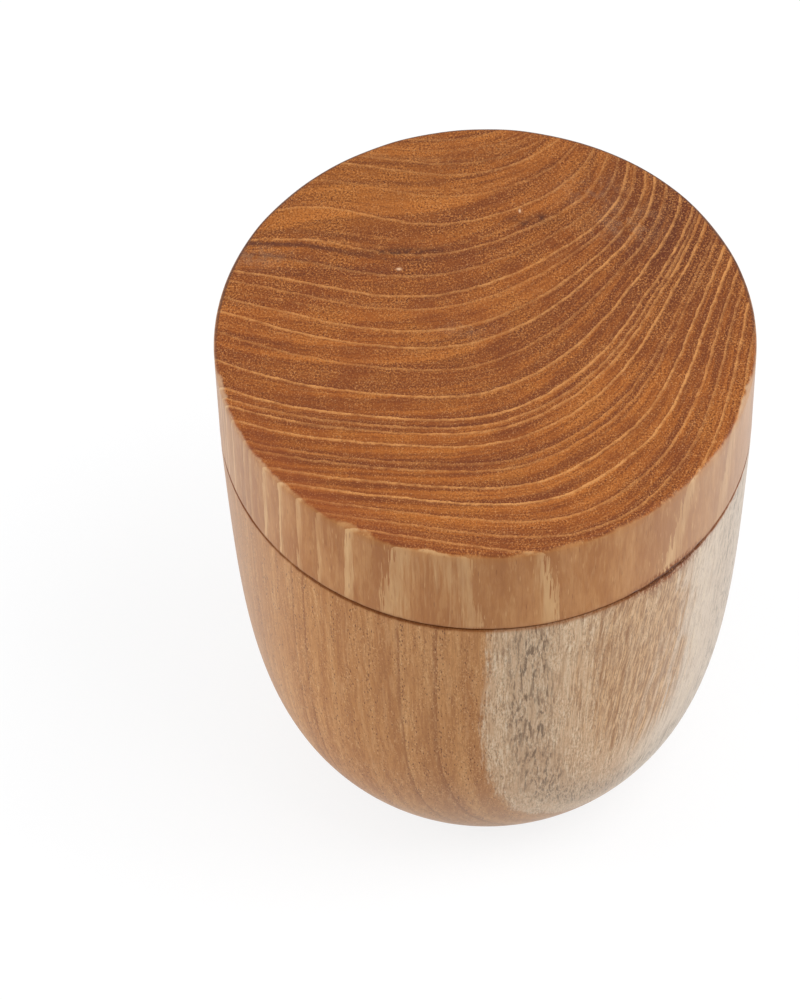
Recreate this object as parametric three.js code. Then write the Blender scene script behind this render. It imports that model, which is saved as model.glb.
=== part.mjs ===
// A lidded wooden storage jar, turned on a lathe from two blocks of the same timber.
// Millimetres, +Z up, origin at the centre of the foot, on the surface that the jar stands on.
//
// The jar comes apart into two pieces:
//   jar_body  a hollowed vessel, cylindrical at the mouth and rounding in to a small flat foot
//   lid       a thick disc whose side carries on the body's, with a spigot that drops into the mouth
//
// Each piece is one revolve of its half-outline, given as (radius, height) strokes.

import * as THREE from "three";

// Sizes of the body
const BODY_HEIGHT = 111.7; // foot to rim
const SEAM_RADIUS = 59.6; // outside of the body's rim and of the lid's lower edge
const FOOT_RADIUS = 31; // flat foot, where the side ends
const WALL = 9; // side wall, measured at the mouth
const FLOOR = 12; // wood left under the hollow
const FLOOR_FLAT_RADIUS = 12; // level middle of the hollow's floor

// The side's outline is one cubic curve. These four sizes place its two handles.
const SIDE_LEAN = 3; // how far the upper handle stands in from the rim
const SIDE_REACH = 67; // how far down the upper handle reaches
const BELLY_SWELL = 24.6; // how far the lower handle stands out from the foot
const BELLY_RISE = 14.7; // how high the lower handle stands above the foot

// Mouth of the body, where the lid's spigot sits
const MOUTH_DEPTH = 14; // depth of the straight bore
const MOUTH_LEDGE = 0.9; // step from the bore in to the hollow below it
const MOUTH_CHAMFER = 0.8; // lead-in for the spigot

// Shallow recess under the foot, so that the jar stands on a ring
const FOOT_RING = 8; // width of the ring
const FOOT_RECESS_DEPTH = 1.2;
const FOOT_RECESS_SLOPE = 3; // run of the recess's sloping edge

// Sizes of the lid
const LID_THICKNESS = 28; // visible side of the lid
const LID_FLARE = 0.4; // how much further out the side stands at the top than at the seam
const TOP_EDGE_ROUND = 1.1; // worn edge round the top face
const SPIGOT_DEPTH = 11;
const SPIGOT_CHAMFER = 1;
const DISH_DEPTH = 2.4; // hollow turned into the spigot's underside
const DISH_MARGIN = 9; // flat ring left round that hollow

// Fits
const SEAT_GAP = 0.3; // between the lid's shoulder and the body's rim
const SPIGOT_CLEARANCE = 0.4; // all round the spigot, in the mouth
const SEAM_BEVEL = 0.45; // eased edges on both sides of the seam

// Fineness of the facets
const FACETS_ROUND = 64;
const SIDE_STEPS = 22;
const HOLLOW_STEPS = 16;
const DISH_STEPS = 5;
const EDGE_STEPS = 4;

// Places that both pieces are built from
const rimHeight = BODY_HEIGHT;
const mouthRadius = SEAM_RADIUS - WALL;
const shoulderHeight = rimHeight + SEAT_GAP;
const spigotRadius = mouthRadius - SPIGOT_CLEARANCE;
const spigotFoot = shoulderHeight - SPIGOT_DEPTH;
const topHeight = shoulderHeight + LID_THICKNESS;
const topRadius = SEAM_RADIUS + LID_FLARE;

const at = (radius, height) => new THREE.Vector2(radius, height);

// The strokes' points, in order. A plain point joins by a straight line, and a curve adds its own steps.
function outline(...strokes) {
  const points = [];
  for (const stroke of strokes) {
    if (stroke.isVector2) points.push(stroke);
    else points.push(...stroke.curve.getPoints(stroke.steps));
  }
  return points.filter((point, i) => i === 0 || point.distanceTo(points[i - 1]) > 1e-6);
}

// Revolves a half-outline about the Z axis. It runs from the axis at the bottom, out, up and back to the axis.
function turn(name, halfOutline, material) {
  const geometry = new THREE.LatheGeometry(halfOutline, FACETS_ROUND);
  geometry.rotateX(Math.PI / 2);
  const mesh = new THREE.Mesh(geometry, material);
  mesh.name = name;
  return mesh;
}

// The outside of the body from the foot up to the seam, as one cubic curve.
function bodySide() {
  const seam = at(SEAM_RADIUS, rimHeight - SEAM_BEVEL);
  const foot = at(FOOT_RADIUS, 0);
  return {
    foot,
    lowerHandle: at(FOOT_RADIUS + BELLY_SWELL, BELLY_RISE),
    upperHandle: at(SEAM_RADIUS - SIDE_LEAN, rimHeight - SIDE_REACH),
    seam,
  };
}

// The hollow follows the side at the wall's distance, and runs out level into its floor.
function bodyHollow(side) {
  const ledge = at(mouthRadius - MOUTH_LEDGE, rimHeight - MOUTH_DEPTH);
  const floorEdge = at(FLOOR_FLAT_RADIUS, FLOOR);
  const upperHandle = at(side.upperHandle.x - WALL - MOUTH_LEDGE, side.upperHandle.y);
  const lowerHandle = at(side.lowerHandle.x - WALL, FLOOR);
  return new THREE.CubicBezierCurve(ledge, upperHandle, lowerHandle, floorEdge);
}

function jarBody() {
  const side = bodySide();
  const recessRadius = FOOT_RADIUS - FOOT_RING;
  const sideCurve = new THREE.CubicBezierCurve(
    side.foot,
    side.lowerHandle,
    side.upperHandle,
    side.seam,
  );
  const half = outline(
    at(0, FOOT_RECESS_DEPTH),
    at(recessRadius - FOOT_RECESS_SLOPE, FOOT_RECESS_DEPTH),
    at(recessRadius, 0),
    { curve: sideCurve, steps: SIDE_STEPS },
    at(SEAM_RADIUS - SEAM_BEVEL, rimHeight),
    at(mouthRadius + MOUTH_CHAMFER, rimHeight),
    at(mouthRadius, rimHeight - MOUTH_CHAMFER),
    at(mouthRadius, rimHeight - MOUTH_DEPTH),
    { curve: bodyHollow(side), steps: HOLLOW_STEPS },
    at(0, FLOOR),
  );
  const mixedTimber = new THREE.MeshStandardMaterial({ color: 0xb58f6c, roughness: 0.62, metalness: 0 });
  return turn("jar_body", half, mixedTimber);
}

function jarLid() {
  const dishRadius = spigotRadius - DISH_MARGIN;
  const dish = new THREE.QuadraticBezierCurve(
    at(0, spigotFoot + DISH_DEPTH),
    at(dishRadius / 2, spigotFoot + DISH_DEPTH),
    at(dishRadius, spigotFoot),
  );
  const topEdge = new THREE.EllipseCurve(
    topRadius - TOP_EDGE_ROUND,
    topHeight - TOP_EDGE_ROUND,
    TOP_EDGE_ROUND,
    TOP_EDGE_ROUND,
    0,
    Math.PI / 2,
  );
  const half = outline(
    { curve: dish, steps: DISH_STEPS },
    at(spigotRadius - SPIGOT_CHAMFER, spigotFoot),
    at(spigotRadius, spigotFoot + SPIGOT_CHAMFER),
    at(spigotRadius, shoulderHeight),
    at(SEAM_RADIUS - SEAM_BEVEL, shoulderHeight),
    at(SEAM_RADIUS, shoulderHeight + SEAM_BEVEL),
    { curve: topEdge, steps: EDGE_STEPS },
    at(0, topHeight),
  );
  const heartwood = new THREE.MeshStandardMaterial({ color: 0xa8673a, roughness: 0.55, metalness: 0 });
  return turn("lid", half, heartwood);
}

const storageJar = new THREE.Group();
storageJar.add(jarBody(), jarLid());

export default storageJar;
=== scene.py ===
import math

import bmesh
import bpy
from mathutils import Matrix, Vector, noise
from mathutils.geometry import interpolate_bezier


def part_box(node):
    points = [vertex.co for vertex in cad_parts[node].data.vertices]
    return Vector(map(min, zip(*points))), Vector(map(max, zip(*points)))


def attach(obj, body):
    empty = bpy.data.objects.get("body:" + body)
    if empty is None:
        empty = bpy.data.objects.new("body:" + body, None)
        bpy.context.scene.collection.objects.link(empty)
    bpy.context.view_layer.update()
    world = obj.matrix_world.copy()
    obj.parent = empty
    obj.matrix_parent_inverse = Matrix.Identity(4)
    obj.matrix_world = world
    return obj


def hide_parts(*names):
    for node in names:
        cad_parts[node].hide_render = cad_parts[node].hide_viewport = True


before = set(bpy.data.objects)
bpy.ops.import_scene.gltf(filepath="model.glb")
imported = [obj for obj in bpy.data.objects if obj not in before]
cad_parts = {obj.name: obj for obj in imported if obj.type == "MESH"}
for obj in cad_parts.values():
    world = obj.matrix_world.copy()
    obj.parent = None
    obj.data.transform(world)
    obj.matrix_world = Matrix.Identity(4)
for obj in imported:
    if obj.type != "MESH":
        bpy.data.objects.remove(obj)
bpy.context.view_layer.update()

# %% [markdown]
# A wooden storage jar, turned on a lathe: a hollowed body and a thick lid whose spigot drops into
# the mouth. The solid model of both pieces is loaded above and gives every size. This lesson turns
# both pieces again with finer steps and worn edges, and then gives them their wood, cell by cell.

MM = 0.001
body_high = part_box("jar_body")[1] / MM
lid_low, lid_high = (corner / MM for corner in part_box("lid"))
seam_radius = body_high.x
rim_height = body_high.z
spigot_foot = lid_low.z
top_radius = lid_high.x
top_height = lid_high.z
print("body", round(rim_height, 1), "mm high, lid", round(top_radius * 2, 1), "mm across")

# %% [markdown]
# The camera looks down at the jar from the front, as the photograph does. A long lens keeps the
# circles of the lid and the seam almost parallel. The camera's own axes are worked out from its
# height angle and its roll, and then put in the columns of its matrix.

# %% The camera
CAMERA_DISTANCE = 1700
CAMERA_HEIGHT_ANGLE = math.radians(53.53)
CAMERA_ROLL = math.radians(-1.226)
CAMERA_AIM = Vector((-19.56, 0, 80.13))
CAMERA_SEES_TO = 20000
LENS = 269.3


def make_camera():
    """Places the camera on its line of sight, turned about that line by the roll."""
    back = Vector((0, -math.cos(CAMERA_HEIGHT_ANGLE), math.sin(CAMERA_HEIGHT_ANGLE)))
    right = Matrix.Rotation(CAMERA_ROLL, 3, back) @ Vector((1, 0, 0))
    up = back.cross(right)
    camera = bpy.data.objects.new("camera", bpy.data.cameras.new("camera"))
    turn = Matrix((right, up, back)).transposed().to_4x4()
    camera.matrix_world = Matrix.Translation((CAMERA_AIM + back * CAMERA_DISTANCE) * MM) @ turn
    camera.data.lens = LENS
    camera.data.clip_end = CAMERA_SEES_TO * MM
    bpy.context.collection.objects.link(camera)
    bpy.context.scene.camera = camera
    return camera


camera = make_camera()
print("camera at", tuple(round(value, 3) for value in camera.matrix_world.translation))

# %% [markdown]
# Turned work is the path of one outline round an axis. The outline starts as a few corners. Straight
# strokes and curves between them are cut into short steps, and the spin operator carries the line of
# vertices round. Its ends on the axis are merged, so that the piece is closed.

# %% Turning an outline
ROUND_STEPS = 640
MERGE_WITHIN = 0.002
SHARP_ANGLE = math.radians(32)


def outline(start, *strokes):
    """Points of a half-outline, by radius and height.

    A stroke is its number of steps, its two handles if it curves, and its end."""
    points = [Vector(start).to_3d()]
    for steps, *knots in strokes:
        begin = points[-1]
        *handles, end = (Vector(knot).to_3d() for knot in knots)
        if not handles:
            handles = (begin.lerp(end, 1 / 3), begin.lerp(end, 2 / 3))
        points += interpolate_bezier(begin, *handles, end, steps + 1)[1:]
    return points


def turned(name, points, wear):
    """A closed piece turned from a half-outline, with the wear function moving its points a little."""
    bm = bmesh.new()
    line = [bm.verts.new((point.x * MM, 0, point.y * MM)) for point in points]
    for pair in zip(line, line[1:]):
        bm.edges.new(pair)
    bmesh.ops.spin(bm, geom=bm.verts[:] + bm.edges[:], axis=(0, 0, 1), cent=(0, 0, 0),
                   angle=math.tau, steps=ROUND_STEPS, use_merge=True)
    bmesh.ops.remove_doubles(bm, verts=bm.verts, dist=MERGE_WITHIN * MM)
    bmesh.ops.recalc_face_normals(bm, faces=bm.faces)
    for vertex in bm.verts:
        vertex.co = wear(vertex.co / MM) * MM
    mesh = bpy.data.meshes.new(name)
    bm.to_mesh(mesh)
    bm.free()
    mesh.shade_smooth()
    mesh.set_sharp_from_angle(angle=SHARP_ANGLE)
    piece = bpy.data.objects.new(name, mesh)
    bpy.context.collection.objects.link(piece)
    print(name, "has", len(mesh.polygons), "faces")
    return piece


print("a full turn takes", ROUND_STEPS, "steps of", round(math.tau * top_radius / ROUND_STEPS, 2), "mm")

# %% [markdown]
# A jar that is handled loses its crisp edges. The rim and the lid's lower edge meet in a line that
# wanders a little, and splinters have come off it in one stretch at the front right. Noise that runs
# round the piece gives the wandering, and a second, finer noise the splinters.

# %% Wear along the edges
EDGE_REACH = 1.6  # how far from an edge the wear is felt
SEAM_WEAR = 0.11  # how much the edges at the seam have lost, where the wear is middling
TOP_WEAR = 0.132  # and how much the top edge has lost
SPLINTER_DEPTH = 0.3
SPLINTERS_AT = math.radians(42)  # from the front, towards the right
SPLINTERS_SPREAD = math.radians(11)
STRAY_SPLINTERS = 0.15  # depth of the few splinters elsewhere, as a share of the others'
SPLINTER_NOISE = 1.4  # a higher value makes them deeper and steeper
SPLINTER_CROWDING = 0.1  # and a higher value here leaves less whole edge between them

# Waves of the noise in a full turn, and the noise's seed
RIM_WAVES = (14, 2.5)
LID_WAVES = (17, 8.5)
RIM_SPLINTERS = (190, 5.5)
LID_SPLINTERS = (190, 9.5)
TOP_SHORT_WAVES = (40, 3.5)
TOP_LONG_WAVES = (11, 1.5)


def round_noise(point, per_turn, seed):
    """Noise that closes on itself round the axis, from -1 to 1."""
    angle = math.atan2(point.y, point.x)
    reach = per_turn / math.tau
    return noise.noise(Vector((math.cos(angle) * reach, math.sin(angle) * reach, seed)))


def near(distance, reach):
    """Falls smoothly from 1 at no distance to 0 at the reach."""
    share = max(0.0, 1.0 - abs(distance) / reach)
    return share * share * (3 - 2 * share)


def splinters(point, waves):
    """Depth of the torn spots at this place round the seam, in millimetres."""
    from_front = math.atan2(point.x, -point.y)
    here = math.exp(-((from_front - SPLINTERS_AT) / SPLINTERS_SPREAD) ** 2)
    torn = max(0.0, round_noise(point, *waves) * SPLINTER_NOISE + SPLINTER_CROWDING)
    return SPLINTER_DEPTH * (STRAY_SPLINTERS + here) * torn


def wear_body(point):
    """Draws the rim's outer edge in and down by a little."""
    radius = point.xy.length
    amount = near(radius - seam_radius, EDGE_REACH) * near(point.z - rim_height, EDGE_REACH)
    if amount:
        loss = SEAM_WEAR * (1 + round_noise(point, *RIM_WAVES)) + splinters(point, RIM_SPLINTERS)
        shrink = 1 - amount * loss / radius
        point = Vector((point.x * shrink, point.y * shrink, point.z - amount * loss))
    return point


def wear_lid(point):
    """Draws the lower edge in and up, and the top edge in and down, by a little."""
    radius = point.xy.length
    outer = near(radius - top_radius, EDGE_REACH)
    low = outer * near(point.z - lid_shoulder, EDGE_REACH)
    high = outer * near(point.z - top_height, EDGE_REACH)
    if low or high:
        loss = SEAM_WEAR * (1 + round_noise(point, *LID_WAVES)) + splinters(point, LID_SPLINTERS)
        waves = round_noise(point, *TOP_SHORT_WAVES) + round_noise(point, *TOP_LONG_WAVES)
        rub = TOP_WEAR * max(0.0, 1 + waves)
        shrink = 1 - (low * loss + high * rub) / radius
        point = Vector((point.x * shrink, point.y * shrink, point.z + low * loss - high * rub))
    return point


print("splinters", round(math.degrees(SPLINTERS_AT)), "degrees from the front, up to", SPLINTER_DEPTH, "mm")

# %% [markdown]
# The body is a bowl with an even wall. Its side is one long curve from the foot to the seam, and the
# hollow follows that side. The mouth is a straight bore with a small ledge, which the lid's spigot
# enters, and the foot is a ring round a shallow recess, so that the jar doesn't rock.

# %% The body's outline
SEAM_BEVEL = 0.3
FOOT_RADIUS = 31
FOOT_RING = 8
FOOT_RECESS = 1.2
FOOT_SLOPE = 3
SIDE_LEAN = 3
SIDE_REACH = 67
BELLY_SWELL = 24.6
BELLY_RISE = 14.7
WALL = 9
FLOOR = 12
FLOOR_FLAT = 12
MOUTH_DEPTH = 14
MOUTH_LEDGE = 0.9
MOUTH_CHAMFER = 0.8

# Steps of the strokes
SIDE_STEPS = 58
HOLLOW_STEPS = 30
FLAT_STEPS = 5
BAND_STEPS = 4
NARROW_STEPS = 3
BEVEL_STEPS = 2


def body_outline():
    """The body's half-outline, from the axis under the foot to the axis on the hollow's floor."""
    mouth = seam_radius - WALL
    lean = seam_radius - SIDE_LEAN
    swell = FOOT_RADIUS + BELLY_SWELL
    ring = FOOT_RADIUS - FOOT_RING
    reach = rim_height - SIDE_REACH
    bore_foot = rim_height - MOUTH_DEPTH
    return outline(
        (0, FOOT_RECESS),
        (FLAT_STEPS, (ring - FOOT_SLOPE, FOOT_RECESS)),
        (BEVEL_STEPS, (ring, 0)),
        (NARROW_STEPS, (FOOT_RADIUS, 0)),
        (SIDE_STEPS, (swell, BELLY_RISE), (lean, reach), (seam_radius, rim_height - SEAM_BEVEL)),
        (BEVEL_STEPS, (seam_radius - SEAM_BEVEL, rim_height)),
        (FLAT_STEPS, (mouth + MOUTH_CHAMFER, rim_height)),
        (BEVEL_STEPS, (mouth, rim_height - MOUTH_CHAMFER)),
        (BAND_STEPS, (mouth, bore_foot)),
        (1, (mouth - MOUTH_LEDGE, bore_foot)),
        (HOLLOW_STEPS, (lean - WALL - MOUTH_LEDGE, reach), (swell - WALL, FLOOR), (FLOOR_FLAT, FLOOR)),
        (NARROW_STEPS, (0, FLOOR)),
    )


jar_body = turned("turned_body", body_outline(), wear_body)

# %% [markdown]
# The lid is a thick disc that carries the body's side on. Its shoulder rests on the rim, its spigot
# fills the mouth with a little room all round, and the spigot's underside is turned to a shallow
# dish. The top is flat, with an edge that is rounded over by sanding.

# %% The lid's outline
LID_THICKNESS = 28
TOP_EDGE_ROUND = 1.1
SPIGOT_CLEARANCE = 0.4
SPIGOT_CHAMFER = 1
DISH_DEPTH = 2.4
DISH_MARGIN = 9
CIRCLE_HANDLE = 0.5523  # handle length that makes a curve a quarter circle
lid_shoulder = top_height - LID_THICKNESS

# Narrow bands of faces beside the edges, which follow the wear
LOW_BAND = 3
TOP_BAND = 1.5

# Steps of the strokes
DISH_STEPS = 14
LID_SIDE_STEPS = 12
TOP_EDGE_STEPS = 6
TOP_STEPS = 8


def lid_outline():
    """The lid's half-outline, from the axis in the dish to the axis on the top."""
    spigot = seam_radius - WALL - SPIGOT_CLEARANCE
    dish = spigot - DISH_MARGIN
    dish_top = spigot_foot + DISH_DEPTH
    edge = top_radius - TOP_EDGE_ROUND
    edge_start = top_height - TOP_EDGE_ROUND
    pull = TOP_EDGE_ROUND * CIRCLE_HANDLE
    return outline(
        (0, dish_top),
        (DISH_STEPS, (dish / 3, dish_top), (dish * 2 / 3, dish_top - DISH_DEPTH / 3), (dish, spigot_foot)),
        (NARROW_STEPS, (spigot - SPIGOT_CHAMFER, spigot_foot)),
        (BEVEL_STEPS, (spigot, spigot_foot + SPIGOT_CHAMFER)),
        (BAND_STEPS, (spigot, lid_shoulder)),
        (FLAT_STEPS, (seam_radius - SEAM_BEVEL, lid_shoulder)),
        (BEVEL_STEPS, (seam_radius, lid_shoulder + SEAM_BEVEL)),
        (BAND_STEPS, (seam_radius, lid_shoulder + LOW_BAND)),
        (LID_SIDE_STEPS, (top_radius, edge_start)),
        (TOP_EDGE_STEPS, (top_radius, edge_start + pull), (edge + pull, top_height), (edge, top_height)),
        (BAND_STEPS, (edge - TOP_BAND, top_height)),
        (TOP_STEPS, (0, top_height)),
    )


jar_lid = turned("turned_lid", lid_outline(), wear_lid)

# %% [markdown]
# Wood is a solid pattern: growth rings, fibres and pores run right through the block, and turning
# only uncovers them. So the finish is worked out in space, from the place of each point in
# millimetres. The small class below lets the sums of the shader be written as plain formulas.

# %% Values that add up


class Value:
    """The output of a shader node. Sums and products of values add further nodes."""

    def __init__(self, socket):
        self.socket = socket

    def __add__(self, other):
        return math_node("ADD", self, other)

    def __radd__(self, other):
        return math_node("ADD", other, self)

    def __sub__(self, other):
        return math_node("SUBTRACT", self, other)

    def __rsub__(self, other):
        return math_node("SUBTRACT", other, self)

    def __mul__(self, other):
        return math_node("MULTIPLY", self, other)

    def __rmul__(self, other):
        return math_node("MULTIPLY", other, self)

    def __truediv__(self, other):
        return math_node("DIVIDE", self, other)


class Finish:
    """The node tree that is being written. The helpers below add their nodes to it."""

    tree = None

    @classmethod
    def write_on(cls, owner):
        owner.use_nodes = True
        cls.tree = owner.node_tree
        cls.tree.nodes.clear()

    @classmethod
    def start(cls, name):
        material = bpy.data.materials.new(name)
        cls.write_on(material)
        return material


print("values can be added, subtracted, multiplied and divided")

# %% [markdown]
# A node is made by its kind, and its sockets are fed by name with a number, a vector or another
# value. The two helpers for sums and vectors feed theirs in order. A shader goes on to the output,
# and two shaders are added or mixed by a node of their own.

# %% Nodes by their names


def feed(socket, value):
    """Sets a socket to a number or vector, or links a value to it."""
    if isinstance(value, Value):
        Finish.tree.links.new(value.socket, socket)
    else:
        socket.default_value = value


def node(kind, settings, **inputs):
    """Adds a node. Inputs are named in lower case, and are numbers, vectors or values."""
    made = Finish.tree.nodes.new("ShaderNode" + kind)
    for key, value in settings.items():
        setattr(made, key, value)
    sockets = {}
    for socket in reversed(made.inputs):
        if socket.enabled:
            sockets[socket.name.lower().replace(" ", "_")] = socket
    for key, value in inputs.items():
        feed(sockets[key], value)
    return made


def math_node(operation, *terms):
    made = Finish.tree.nodes.new("ShaderNodeMath")
    made.operation = operation
    for socket, term in zip(made.inputs, terms):
        feed(socket, term)
    return Value(made.outputs[0])


def vector_node(operation, *terms, output="Vector", **named):
    made = Finish.tree.nodes.new("ShaderNodeVectorMath")
    made.operation = operation
    for socket, term in zip(made.inputs, terms):
        feed(socket, term)
    for key, term in named.items():
        feed(made.inputs[key], term)
    return Value(made.outputs[output])


def two_shaders(kind, first, second, **inputs):
    """Adds or mixes two shaders."""
    made = node(kind, {}, **inputs)
    slots = [socket for socket in made.inputs if socket.type == "SHADER"]
    for socket, shader in zip(slots, (first, second)):
        Finish.tree.links.new(shader.outputs[0], socket)
    return made


def put_out(shader, kind="OutputMaterial"):
    """Links a shader to the output of its material or world."""
    output = node(kind, {})
    Finish.tree.links.new(shader.outputs[0], output.inputs["Surface"])


print("nodes are fed by name")

# %% [markdown]
# Three things make up nearly all of the wood: noise that is stretched along the trunk, a ramp that
# brings a tone in smoothly between two values of that noise, and a mix of two colours. Tones are
# written as they show on a screen, and turned into the linear values that nodes take.

# %% Ramps, noise and tones
MIDDLE = 0.5  # middle value of every noise

# The Mix node has a set of sockets for each kind of value. These are the ones for colours.
MIX_SHARE = 0
MIX_FIRST = 6
MIX_SECOND = 7
MIX_RESULT = 2


def ramp(value, start, end, low=0.0, high=1.0):
    """Goes smoothly from low to high while the value goes from start to end."""
    settings = {"interpolation_type": "SMOOTHSTEP"}
    made = node("MapRange", settings, value=value, from_min=start, from_max=end, to_min=low, to_max=high)
    return Value(made.outputs["Result"])


def clamp(value):
    return math_node("MINIMUM", math_node("MAXIMUM", value, 0.0), 1.0)


def bell(value):
    """Falls from 1 at no value to 0 either way."""
    return math_node("EXPONENT", value * value * -1.0)


def scaled(place, across, along):
    """The place made finer or coarser, across the trunk and along it."""
    return vector_node("MULTIPLY", place, (across, across, along))


def noise_at(place, detail, roughness, seed):
    """Cloudy noise round 0.5, one cloud to a unit of the place."""
    settings = {"noise_dimensions": "4D"}
    made = node("TexNoise", settings, vector=place, w=seed, scale=1.0, detail=detail, roughness=roughness)
    return Value(made.outputs["Fac"])


def grains(place, table):
    """The noises of a table, by name: clouds in a millimetre across and along, detail, roughness, seed."""
    found = {}
    for name, (across, along, detail, roughness, seed) in table.items():
        found[name] = noise_at(scaled(place, across, along), detail, roughness, seed)
    return found


def mixed(share, first, second):
    """Two colours blended by a share from 0 to 1."""
    made = Finish.tree.nodes.new("ShaderNodeMix")
    made.data_type = "RGBA"
    feed(made.inputs[MIX_SHARE], share)
    feed(made.inputs[MIX_FIRST], first)
    feed(made.inputs[MIX_SECOND], second)
    return Value(made.outputs[MIX_RESULT])


def tone(red, green, blue):
    """A colour by its screen values from 0 to 255, as the linear values that nodes take."""
    return tuple(((part / 255 + 0.055) / 1.055) ** 2.4 for part in (red, green, blue)) + (1.0,)


def parts(vector):
    made = node("SeparateXYZ", {}, vector=vector)
    return tuple(Value(socket) for socket in made.outputs)


def joined(x, y, z):
    made = node("CombineXYZ", {}, x=x, y=y, z=z)
    return Value(made.outputs[0])


def object_place():
    """The point's place on the piece in millimetres, and its surface direction."""
    made = Finish.tree.nodes.new("ShaderNodeTexCoord")
    place = vector_node("SCALE", Value(made.outputs["Object"]), Scale=1 / MM)
    return place, Value(made.outputs["Normal"])


print("a middling wood tone is", tuple(round(part, 3) for part in tone(180, 120, 70)[:3]), "in a node")

# %% [markdown]
# The colour of wood is built up like a stain: a ground tone first, and then layer on layer, each
# where one of the patterns shows. The layers are kept in tables, so that a tone can be found and
# changed without reading any formula.

# %% Layers of tones
AS_IT_IS = None  # for a layer whose pattern is already a share from 0 to 1


def laid(colour, patterns, layers):
    """Lays tones over the colour, in order.

    A layer is its pattern, the two values between which it comes in, its share at most, its tone,
    and the second pattern that thins it, if there is one."""
    for pattern, between, share, shade, *thinned_by in layers:
        amount = patterns[pattern]
        if between:
            amount = ramp(amount, *between)
        amount = amount * share
        for other in thinned_by:
            amount = amount * patterns[other]
        colour = mixed(amount, colour, tone(*shade))
    return colour


print("layers are laid over a ground tone")

# %% [markdown]
# A growth ring is a step outward from the pith. Where the wood grew evenly the rings are circles.
# On the lid they are pushed out or drawn in around a few places by knots and old branches, so each
# bend adds a smooth hill or hollow to the distance from the pith. The slope says how tight the rings
# lie, which keeps the lines at their real width.

# %% Growth rings, bent and counted
LAST_RING = 4  # width of the ring past the last line
BAND_DRIFT = 0.05  # how fast a ring's tone changes along it
BAND_ROUGHNESS = 0.6


def bent_rings(place, pith, bends):
    """Ring distance from the pith in millimetres, with bends, and its slope across the surface."""
    arm = vector_node("SUBTRACT", place, (*pith, 0))
    distance = vector_node("LENGTH", arm, output="Value")
    slope = vector_node("NORMALIZE", arm)
    for x, y, reach, push in bends:
        arm = vector_node("SUBTRACT", place, (x, y, 0))
        square = vector_node("DOT_PRODUCT", arm, arm, output="Value")
        hill = math_node("EXPONENT", square * (-0.5 / reach ** 2)) * push
        distance = distance + hill
        lean = vector_node("SCALE", arm, Scale=hill * (-1 / reach ** 2))
        slope = vector_node("ADD", slope, lean)
    return distance, vector_node("LENGTH", slope, output="Value")


def count_rings(distance, lines):
    """For the ring at this distance: where it starts, where it ends, and its line's strength.

    Each line that the distance has passed adds its own step to all three."""
    ends = [line[0] for line in lines[1:]] + [lines[-1][0] + LAST_RING]
    found = joined(lines[0][0], ends[0], lines[0][1])
    for i in range(1, len(lines)):
        passed = math_node("GREATER_THAN", distance, lines[i][0])
        step = (lines[i][0] - lines[i - 1][0], ends[i] - ends[i - 1], lines[i][1] - lines[i - 1][1])
        found = vector_node("MULTIPLY_ADD", passed, step, found)
    return parts(found)


def die(number, seed):
    """A random share that is the same wherever the number is."""
    made = node("TexWhiteNoise", {"noise_dimensions": "2D"}, vector=joined(number, seed, 0.0))
    return Value(made.outputs["Value"])


def ring_tones(place, distance, along, per_mm, detail, seed):
    """Noise that changes from ring to ring, and only slowly along one."""
    drifting = scaled(place, BAND_DRIFT, along)
    ringed = vector_node("ADD", drifting, joined(distance * per_mm, 0.0, 0.0))
    return noise_at(ringed, detail, BAND_ROUGHNESS, seed)


print("rings are counted from the pith outwards")

# %% [markdown]
# Teak is full of long open vessels. Cut across, on the top of the lid, they are pin pricks, and cut
# along, on the sides, they are short dashes. One pattern of cells seen along the trunk gives both,
# when it wanders a little with height. Some vessels are empty and dark, and some are filled and pale.

# %% Pores
WANDER_FINENESS = 0.12
PORE_CORE = 0.4  # share of a pore's radius that is fully inside it
PORE_BLUR = 0.03  # how sharply the cells without a pore are left out
PORE_SHIFT = (1, 1.7, 0.3)  # how far each step of the seed moves the cells


def wandering(place, sideways, upward):
    """The place, moved sideways by slow noise that changes with height, as fibres wander."""
    spaced = scaled(place, WANDER_FINENESS, 1 / upward)
    made = node("TexNoise", {"noise_dimensions": "3D"}, vector=spaced, scale=1.0, detail=1.0)
    shift = vector_node("SUBTRACT", Value(made.outputs["Color"]), (MIDDLE, MIDDLE, MIDDLE))
    return vector_node("MULTIPLY_ADD", shift, (sideways * 2, sideways * 2, 0), place)


def pores(place, share, cell, length, size, seed, filled):
    """Pores in a share of the cells: how deep the point is in any, in a dark one and in a pale one.

    With a length they are closed at both ends, and without one they run on as tubes. Filled is two
    values of a pore's die: below them it is filled and pale, and above them empty and dark."""
    cells = scaled(place, 1 / cell, length and 1 / length)
    spaced = vector_node("ADD", cells, tuple(step * seed for step in PORE_SHIFT))
    made = node("TexVoronoi", {"voronoi_dimensions": "3D" if length else "2D"}, vector=spaced, scale=1.0)
    inside = ramp(Value(made.outputs["Distance"]), size / cell, PORE_CORE * size / cell)
    dice = node("SeparateColor", {}, color=Value(made.outputs["Color"]))
    hole = inside * ramp(share - Value(dice.outputs[0]), -PORE_BLUR, PORE_BLUR)
    fill = Value(dice.outputs[1])
    return hole, hole * ramp(fill, *filled), hole * ramp(fill, *reversed(filled))


print("an empty pore shows full within", PORE_CORE, "of its radius")

# %% [markdown]
# The surface itself is an oiled, nearly matt wood. Its relief is that of the grain, a tenth of a
# millimetre deep, and it barely mirrors the room. Seen aslant it is paler, which the sheen gives.

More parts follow.
